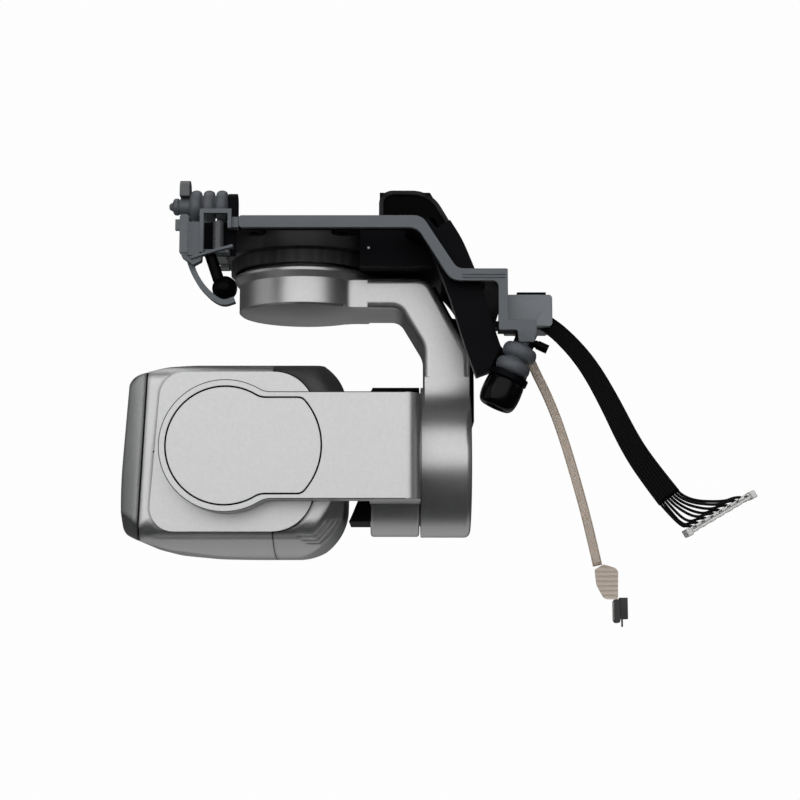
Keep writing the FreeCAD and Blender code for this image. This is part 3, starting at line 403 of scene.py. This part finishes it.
MATERIALS = {
    "silver_paint": silver,
    "camera_silver": lambda n: silver(n, [(0, SEAM_X, 0.09 * MM)], 0.9),
    "graphite_paint": lambda n: grained(n, (0.32, 0.325, 0.325), 0.40, metallic=0.8, spread=0.1, grain=5200,
                                        grain_depth=0.008, rough_spread=0.03, rounding=0.9),
    # painted shade: the frame and the cradle turn black and dull inside, the cradle also on the back wall
    # behind its window
    "frame_grey": lambda n: frame_plastic(n, 18.3),
    "cradle_grey": lambda n: frame_plastic(n, 17.0),
    "black_plastic": lambda n: grained(n, (0.0012, 0.0014, 0.0022), 0.5, grain=3600, grain_depth=0.012,
                                       specular=0.04),
    "bracket_black": lambda n: grained(n, (0.002, 0.0023, 0.0036), 0.45, grain=3600, grain_depth=0.012,
                                       specular=0.06, shade=(0, -11.9 * MM, -12.0 * MM, (0.15, 0.155, 0.16))),
    # painted highlight: the bumper post above Z -4.8 mm is grey and glossy for its highlight; the bulbs and
    # pins below are black and dull
    "bumper_black_painted_highlight": lambda n: grained(n, (0.09, 0.092, 0.1), 0.25, grain=3000, grain_depth=0.004,
                                      shade=(2, -4.8 * MM, -5.0 * MM, (0.002, 0.002, 0.0022))),
    "motor_black": lambda n: grained(n, (0.016, 0.016, 0.018), 0.42, grain=3600, grain_depth=0.01,
                                     specular=0.25, edge=(0.5, (0.08, 0.08, 0.085))),
    "black_satin": lambda n: grained(n, (0.042, 0.042, 0.045), 0.38, grain=4200, grain_depth=0.006,
                                     specular=0.5, rounding=2.2),
    # painted highlight: the hood's lighter convex edges stand in for the highlight along its rim
    "hood_black": lambda n: grained(n, (0.0008, 0.0008, 0.001), 0.45, grain=4200, grain_depth=0.006,
                                    specular=0.03, edge=(0.6, (0.06, 0.06, 0.065))),
    "boot_rubber": lambda n: grained(n, (0.115, 0.125, 0.14), 0.45, grain=3000, grain_depth=0.012),
    "black_rubber": lambda n: grained(n, (0.002, 0.002, 0.0022), 0.2, grain=3000, grain_depth=0.004,
                                      cloud=300, specular=0.14),
    "copper_wire": windings,
    "motor_steel": lambda n: grained(n, (0.3, 0.3, 0.31), 0.4, metallic=0.9, grain=2600, stretch=(1, 1, 14)),
    "bright_steel": lambda n: grained(n, (0.6, 0.6, 0.62), 0.25, metallic=1.0, grain=2600,
                                      stretch=(14, 14, 1)),
    "dark_screws": lambda n: grained(n, (0.05, 0.05, 0.055), 0.35, metallic=0.9, grain=4200),
    "lens_glass": lens_coating,
    "circuit_board": solder_board,
    "cable_black": lambda n: grained(n, (0.0015, 0.0015, 0.0018), 0.35, grain=3000, grain_depth=0.01,
                                     specular=0.12),
    "connector_white": lambda n: grained(n, (0.95, 0.95, 0.93), 0.35, spread=0.05, grain=4200,
                                         edge=(0.4, (1, 1, 1))),
    "flex_beige": flex_film,
    "flex_striped": flex_stripes,
    "connector_dark": lambda n: grained(n, (0.012, 0.012, 0.013), 0.4, grain=4200,
                                        edge=(0.2, (0.08, 0.08, 0.08))),
    "tinned": lambda n: grained(n, (0.55, 0.54, 0.5), 0.3, metallic=1.0, grain=6000),
    "block_grey": lambda n: grained(n, (0.128, 0.14, 0.155), 0.42, metallic=0.25, grain=2600,
                                    grain_depth=0.014, stretch=(1, 1, 9), edge=(0.5, (0.3, 0.32, 0.34))),
    "lens_black": lambda n: grained(n, (0.008, 0.008, 0.009), 0.55, grain=2200, grain_depth=0.05,
                                    stretch=(6, 0.2, 0.2), specular=0.25),
}
OTHER_FINISH = {"cable_block": "block_grey", "lens_barrel": "lens_black", "camera_body": "camera_silver",
                "heat_sink": "camera_silver", "rear_hood": "hood_black", "front_cradle": "cradle_grey",
                "yaw_motor_housing": "motor_black", "inner_bracket": "bracket_black",
                "bumpers": "bumper_black_painted_highlight", "flex_head": "flex_striped"}
made = {}


def finish(name):
    if name not in made:
        made[name] = MATERIALS[name](name)
    return made[name]


def paint_nodes():
    slots = {row["node"]: row["material_slot"] for row in frame["record"]["subparts"]}
    for name, node in nodes.items():
        node.data.materials.clear()
        node.data.materials.append(finish(OTHER_FINISH.get(name, slots[name])))


# ---------------------------------------------------------------- mesh helpers
def add_piece(name, mesh, slot, body=None, look=None, smooth=True):
    """Link a mesh as a piece with a slot's finish, riding on a body."""
    piece = bpy.data.objects.new(name, mesh)
    bpy.context.scene.collection.objects.link(piece)
    mesh.materials.append(finish(look or slot))
    if smooth:
        mesh.shade_smooth()
    if body:
        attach(piece, body)
    return piece


def mesh_from(name, points, faces):
    mesh = bpy.data.meshes.new(name)
    mesh.from_pydata(points, [], faces)
    mesh.validate()
    work = bmesh.new()
    work.from_mesh(mesh)
    bmesh.ops.recalc_face_normals(work, faces=work.faces)
    work.to_mesh(mesh)
    work.free()
    return mesh


def cut_corners(points, rounds):
    """Round an open line of (a, b) points by cutting its corners again and again."""
    for _ in range(rounds):
        smoother = [points[0]]
        for (a, b), (c, d) in zip(points, points[1:]):
            smoother.append((0.75 * a + 0.25 * c, 0.75 * b + 0.25 * d))
            smoother.append((0.25 * a + 0.75 * c, 0.25 * b + 0.75 * d))
        points = smoother + [points[-1]]
    return points


def lathe(name, profile, start, axis, segments=72):
    """A mesh revolved from (radius, distance along the axis), both in millimetres."""
    turn = Z_AXIS.rotation_difference(Vector(axis)).to_matrix()
    points = []
    for radius, along in profile:
        for i in range(segments):
            angle = math.tau * i / segments
            local = Vector((radius * math.cos(angle), radius * math.sin(angle), along)) * MM
            points.append(Vector(start) + turn @ local)
    faces = []
    for ring in range(len(profile) - 1):
        for i in range(segments):
            j = (i + 1) % segments
            a, b = ring * segments, (ring + 1) * segments
            faces.append((a + i, a + j, b + j, b + i))
    faces.append(tuple(range(segments)))
    faces.append(tuple(range(len(points) - segments, len(points))))
    return mesh_from(name, points, faces)


def smooth_line(route, resolution=14):
    """Points along a NURBS spline whose control points are the route."""
    data = bpy.data.curves.new("route", "CURVE")
    data.dimensions = "3D"
    spline = data.splines.new("NURBS")
    spline.points.add(len(route) - 1)
    for point, place in zip(spline.points, route):
        point.co = (*place, 1)
    spline.order_u = 3
    spline.use_endpoint_u = True
    spline.resolution_u = resolution
    holder = bpy.data.objects.new("route", data)
    bpy.context.scene.collection.objects.link(holder)
    bpy.context.view_layer.update()
    mesh = bpy.data.meshes.new_from_object(holder)
    line = [vertex.co.copy() for vertex in mesh.vertices]
    bpy.data.objects.remove(holder)
    bpy.data.meshes.remove(mesh)
    return line


def along_line(name, line, section, side=Y_AXIS):
    """Sweep section(progress) -> [(across, side)] in metres along a line, with a UV across and along it."""
    rings = []
    for i, here in enumerate(line):
        ahead = line[min(i + 1, len(line) - 1)] - line[max(i - 1, 0)]
        across = side.cross(ahead).normalized()
        third = ahead.cross(across).normalized()
        rings.append([here + across * u + third * v for u, v in section(i / (len(line) - 1))])
    count = len(rings[0])
    points = [point for ring in rings for point in ring]
    faces = []
    spots = []
    for r in range(len(rings) - 1):
        for i in range(count):
            j = (i + 1) % count
            faces.append((r * count + i, r * count + j, (r + 1) * count + j, (r + 1) * count + i))
            spots.append(((i / count, r), ((i + 1) / count, r), ((i + 1) / count, r + 1), (i / count, r + 1)))
    faces.append(tuple(range(count)))
    faces.append(tuple(range(len(points) - count, len(points))))
    mesh = bpy.data.meshes.new(name)
    mesh.from_pydata(points, [], faces)
    layer = mesh.uv_layers.new(name="along")
    for face, spot in zip(mesh.polygons, spots):
        for loop, (u, v) in zip(face.loop_indices, spot):
            layer.data[loop].uv = (abs(2 * u - 1), v / len(rings))
    return mesh


def round_section(radius, count=16):
    ring = [(radius * math.cos(math.tau * k / count), radius * math.sin(math.tau * k / count))
            for k in range(count)]
    return lambda progress: ring


def block_mesh(name, boxes, bevel):
    """Several boxes (low corner, high corner, in millimetres) in one mesh, with bevelled edges."""
    work = bmesh.new()
    for low, high in boxes:
        low, high = Vector(low) * MM, Vector(high) * MM
        size = high - low
        matrix = Matrix.Translation((low + high) / 2) @ Matrix.Diagonal((*size, 1))
        bmesh.ops.create_cube(work, size=1, matrix=matrix)
    bmesh.ops.bevel(work, geom=work.edges[:], offset=bevel * MM, segments=2, affect="EDGES",
                    clamp_overlap=True)
    mesh = bpy.data.meshes.new(name)
    work.to_mesh(mesh)
    work.free()
    return mesh


# ---------------------------------------------------------------- cords
BUNDLE_ROUTE = [(0.0300, -0.0140, -0.0119), (0.0331, -0.0140, -0.0135), (0.0362, -0.0140, -0.0164),
                (0.0387, -0.0140, -0.01965), (0.0412, -0.0140, -0.0243), (0.0437, -0.0140, -0.0296),
                (0.0461, -0.0140, -0.0333), (0.0487, -0.0140, -0.0367)]
FLEX_ROUTE = [(0.0293, -0.0110, -0.0142), (0.0311, -0.0110, -0.0186), (0.0333, -0.0110, -0.02305),
              (0.0351, -0.0110, -0.0280), (0.0370, -0.0110, -0.0347), (0.0384, -0.0110, -0.0402),
              (0.0395, -0.0110, -0.0454)]
CORES = 8
CABLE_WIDTH = 2.15
CABLE_SPREAD = 1.15
CABLE_DEPTH = 0.42
WIRE_RADIUS = 0.19
LANE_PITCH = 0.4
FLEX_HALF_WIDTH = 0.62
FLEX_HALF_DEPTH = 0.07
CONTACTS = 7
CONTACT_PITCH = 1.3
FLEX_PINS = 7
FLEX_PIN_PITCH = 0.2
CONNECTOR_TILT = math.radians(30.2)
CONNECTOR_PLACE = Vector((55.2, -14.0, -38.8)) * MM


def bundle_section(progress):
    """Cores side by side: the flat cable fans out towards its end."""
    width = (CABLE_WIDTH + CABLE_SPREAD * progress ** 1.3) * MM
    depth = CABLE_DEPTH * MM
    steps = CORES * 8
    top = []
    for k in range(steps + 1):
        wave = abs(math.sin(math.pi * CORES * k / steps))
        top.append((width * (k / steps - 0.5), depth * (0.62 + 0.38 * wave ** 0.6)))
    return top + [(u, -v) for u, v in reversed(top)]


def flex_section(progress):
    half = FLEX_HALF_WIDTH * MM
    depth = FLEX_HALF_DEPTH * MM
    across = [half, half * 0.5, 0, -half * 0.5, -half]
    return [(half, -depth)] + [(u, depth) for u in across] + [(u, -depth) for u in reversed(across[1:])]


def connector_matrix():
    return Matrix.Translation(CONNECTOR_PLACE) @ Matrix.Rotation(-CONNECTOR_TILT, 4, "Y")


def plug_piece(name, boxes, bevel, slot, look=None):
    """A bevelled piece of the tilted plug, laid out in the plug's own frame in millimetres."""
    mesh = block_mesh(name, boxes, bevel)
    mesh.transform(connector_matrix())
    return add_piece(name, mesh, slot, "outer_frame", look, smooth=False)


def make_signal_plug():
    """The slim strip: its shell with two end blocks and two rims, its contacts and its slots."""
    shell = plug_piece("signal_plug_shell", [((-4.7, -1.35, -0.3), (4.7, 1.35, 0.3)),
                                             ((-5.2, -1.8, -0.5), (-4.5, 1.8, 0.5)),
                                             ((4.5, -1.8, -0.5), (5.2, 1.8, 0.5)),
                                             ((-4.5, -1.5, 0.1), (4.5, -1.2, 0.45)),
                                             ((-4.5, 1.2, 0.1), (4.5, 1.5, 0.45))], 0.06, "connector_white")
    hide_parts("signal_connector")
    marks = [(k - (CONTACTS - 1) / 2) * CONTACT_PITCH for k in range(CONTACTS)]
    contacts = plug_piece("signal_plug_contacts",
                          [((x - 0.3, -1.48, -0.36), (x + 0.3, 1.1, -0.22)) for x in marks], 0.03,
                          "connector_white", "tinned")
    holes = plug_piece("signal_plug_slots",
                       [((x - 0.25, -1.53, 0.2), (x + 0.25, -1.49, 0.36)) for x in marks], 0.01,
                       "connector_dark")
    return [shell, contacts, holes]


def make_signal_wires(line):
    """Loose wires that fan out of the flat cable's end and drop onto the strip, each with its slack."""
    place = connector_matrix()
    heading = (line[-1] - line[-3]).normalized()
    across = Y_AXIS.cross(heading).normalized()
    wires = []
    for k in range(CORES):
        lane = (k - (CORES - 1) / 2) * LANE_PITCH
        side = 0.55 * ((k * 2) % 3 - 1)
        spot = -4.0 + 1.1 * k
        start = line[-1] - heading * 0.6 * MM - across * lane * MM
        bend = start + heading * (1.3 + 0.1 * k) * MM
        low = place @ (Vector((max(spot - 2.4, 0.35 * k - 5.2), side, 1.1)) * MM)
        lift = place @ (Vector((spot - 0.6, side, 0.85)) * MM)
        landing = place @ (Vector((spot, side, 0.42)) * MM)
        route = smooth_line([start, bend, low, lift, landing], 10)
        mesh = along_line(f"signal_wire_{k + 1}", route, round_section(WIRE_RADIUS * MM))
        wires.append(add_piece(f"signal_wire_{k + 1}", mesh, "cable_black", "outer_frame"))
    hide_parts("signal_wires")
    return wires


def make_signal_cable():
    line = smooth_line(BUNDLE_ROUTE)
    cable = add_piece("signal_cable_cores", along_line("signal_cable_cores", line, bundle_section),
                      "cable_black", "outer_frame")
    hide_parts("signal_cable")
    pieces = make_signal_plug() + make_signal_wires(line)


def make_flex_ribbon():
    line = smooth_line(FLEX_ROUTE)
    ribbon = add_piece("flex_film_ribbon", along_line("flex_film_ribbon", line, flex_section), "flex_beige",
                       "outer_frame")
    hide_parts("flex_ribbon")
    low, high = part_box("flex_connector")
    middle = (low[1] + high[1]) / 2 / MM
    pins = []
    for k in range(FLEX_PINS):
        first = middle - FLEX_PIN_PITCH * FLEX_PINS / 2 + FLEX_PIN_PITCH * k
        pins.append(((41.42, first, -52.6), (41.5, first + FLEX_PIN_PITCH / 2, -50.1)))
    pads = add_piece("flex_plug_contacts", block_mesh("flex_plug_contacts", pins, 0.01), "connector_dark",
                     "outer_frame", look="tinned", smooth=False)


# ---------------------------------------------------------------- dampers
CUP_GAP = 0.8
FRONT_BOOTS = {"near": ((-9.3, -15.7, 1.9), 5.1), "far": ((-7.8, 15.7, 1.9), 4.3)}
REAR_TILT = math.radians(25)
REAR_TOPS = {"near": Vector((29.5, -17.0, -17.0)), "far": Vector((31.8, 17.0, -11.2))}
REAR_DOWN = Vector((-math.sin(REAR_TILT), 0, -math.cos(REAR_TILT)))
REAR_LENGTH = 4.2


def boot_profile(ridges, length, crest, root):
    """Round ridges between narrow throats, with a thin lip at each end."""
    outline = []
    steps = 14
    pitch = length / ridges
    for ridge in range(ridges):
        for k in range(steps + 1):
            t = k / steps
            swell = math.sqrt(max(0.0, 1 - (2 * t - 1) ** 2)) ** 0.8
            outline.append((root + (crest - root) * swell, pitch * (ridge + 0.04 + 0.92 * t)))
    return [(root, 0.0)] + outline + [(root, length)]


def make_boot(name, node, ridges, length, crest, root, start, axis):
    """A boot from start, on the frame's side, along the axis to its far end on the soft side; it rides on no
    body.
    """
    start, axis = Vector(start) * MM, Vector(axis).normalized()
    boot = add_piece(name, lathe(name, boot_profile(ridges, length, crest, root), start, axis), "boot_rubber")
    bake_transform(boot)
    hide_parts(node)


def make_dampers():
    tail = [(0.0, 0.0), (1.13, 0.0), (1.13, 1.25), (1.0, 1.35), (1.0, 1.45), (1.13, 1.55), (1.13, 2.0),
            (0.95, 2.2), (0.6, 2.3), (0.5, 2.5), (0.42, 2.7), (0.25, 2.78), (0.0, 2.8)]
    tail = tail[:2] + cut_corners(tail[1:-1], 2) + tail[-1:]
    for side, (start, length) in FRONT_BOOTS.items():
        make_boot(f"front_boot_{side}", "front_dampers", 3, length, 2.2, 1.5, start, (-1, 0, 0))
        tip = Vector(start) - X_AXIS * length
        knob = add_piece(f"damper_tail_{side}", lathe(f"damper_tail_{side}", tail, tip * MM, (-1, 0, 0), 40),
                         "boot_rubber", "isolated_mount")
        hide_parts("damper_tails")
    cup = [(0.0, 0.0), (2.3, 0.0), (2.5, 0.25), (2.55, 0.9), (2.6, 1.8), (2.55, 2.7), (2.35, 3.5),
           (1.95, 3.93), (1.5, 3.95), (1.3, 3.7), (1.2, 3.1), (0.9, 2.9), (0.0, 2.9)]
    cup = cup[:2] + cut_corners(cup[1:-1], 3) + cup[-1:]
    for side, top in REAR_TOPS.items():
        make_boot(f"rear_boot_{side}", f"{side}_rear_damper", 2, REAR_LENGTH, 2.3, 1.4, top, REAR_DOWN)
        start = (top + REAR_DOWN * (REAR_LENGTH + CUP_GAP)) * MM
        bulb = add_piece(f"damper_cup_{side}", lathe(f"damper_cup_{side}", cup, start, REAR_DOWN),
                         "black_rubber", "isolated_mount")
        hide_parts("damper_bulbs")


# ---------------------------------------------------------------- small details
def rim_line(node, side):
    """The outer edge of a node's flat outer face on one side (-1 near, 1 far), as a closed line."""
    work = bmesh.new()
    work.from_mesh(nodes[node].data)
    bmesh.ops.remove_doubles(work, verts=work.verts, dist=1e-7)
    face_y = max(side * vertex.co.y for vertex in work.verts)
    flat = {face for face in work.faces if all(abs(side * v.co.y - face_y) < 1e-6 for v in face.verts)}
    rim = [edge for edge in work.edges if sum(face in flat for face in edge.link_faces) == 1]
    neighbours = {}
    for edge in rim:
        for a, b in (edge.verts, reversed(edge.verts)):
            neighbours.setdefault(a, []).append(b)
    loops = []
    left = dict.fromkeys(neighbours)
    while left:
        loop = [next(iter(left))]
        del left[loop[0]]
        while True:
            ahead = [v for v in neighbours[loop[-1]] if v in left]
            if not ahead:
                break
            loop.append(ahead[0])
            del left[ahead[0]]
        loops.append([v.co.copy() for v in loop])
    work.free()
    return max(loops, key=lambda loop: sum((a - b).length for a, b in zip(loop, loop[1:])))


def rim_shadow_and_joint_bead(name, node, side, outwards, radius, slot, body, span=None, look=None):
    """A fine dark bead around a flat face's edge, set outwards from it (both in millimetres): a painted
    shadow in the cover's gap and along the arm's edge, and a dark joint line on the side plates.

    With span, only the stretch between those two X is followed, and the bead is open.
    """
    line = rim_line(node, side)
    count = len(line)
    middle = sum(line, Vector()) / count
    moved = []
    for i, here in enumerate(line):
        out = (line[(i + 1) % count] - line[i - 1]).cross(Y_AXIS).normalized()
        if out.dot(here - middle) < 0:
            out = -out
        moved.append(here + out * outwards * MM)
    if span:
        inside = [span[0] < (line[i - 1].x + line[i].x) / 2 < span[1] for i in range(count)]
        first = next(i for i in range(count) if inside[i] and not inside[i - 1])
        turn = [(first + k) % count for k in range(count)]
        moved = [moved[first - 1]] + [moved[i] for i in turn if inside[i]]
    else:
        moved += moved[:2]
    return add_piece(name, along_line(name, moved, round_section(radius * MM, 8)), slot, body, look)


def disc_mark(name, centre, normal, radius, slot, body, look=None, height=0.05):
    """A small round disc standing a little proud of the surface: a dot, and in black the painted shade of a
    hole.
    """
    profile = [(0.0, 0.0), (radius, 0.0), (radius, height * 0.7), (radius * 0.8, height), (0.0, height)]
    return add_piece(name, lathe(name, profile, Vector(centre) * MM, normal, 28), slot, body, look)


def make_details():
    # painted shadow: a black bead in the gap around the pitch cover
    rim_shadow_and_joint_bead("cover_gap_painted_shadow", "pitch_cover", -1, 0.09, 0.1, "black_plastic", "roll_arm")
    # painted shadow: a dark bead along the pitch arm's outer edge, from X -1 mm to just short of its end
    end = max(point.x for point in rim_line("pitch_arm", -1)) - 0.2 * MM
    rim_shadow_and_joint_bead("arm_edge_painted_shadow", "pitch_arm", -1, 0.0, 0.05, "silver_paint", "roll_arm", (-1, end), "motor_black")
    for side, sign in (("near", -1), ("far", 1)):
        rim_shadow_and_joint_bead(f"plate_seal_{side}", f"side_plate_{side}", sign, 0.05, 0.07, "black_plastic", "camera",
                 (SEAM_X, 1))
    # painted shade: a black disc stands for the dark inside of the camera's pin hole
    disc_mark("camera_pin_hole_painted_shade", (-19.1, -12.27, -30.4), (0, -1, 0), 0.16, "black_plastic", "camera")
    disc_mark("bracket_dot", (9.2, -11.2, -2.6), (0, -1, 0), 0.16, "connector_white", "isolated_mount")
    ribs = block_mesh("step_ribs", [((21.6, -19.12, -7.95), (27.2, -18.95, -7.75)),
                                    ((21.6, -19.12, -8.35), (27.2, -18.95, -8.15))], 0.03)
    add_piece("step_ribs", ribs, "frame_grey", "outer_frame", smooth=False)


make_camera()
make_studio()
make_signal_cable()
make_flex_ribbon()
paint_nodes()
make_dampers()
make_details()
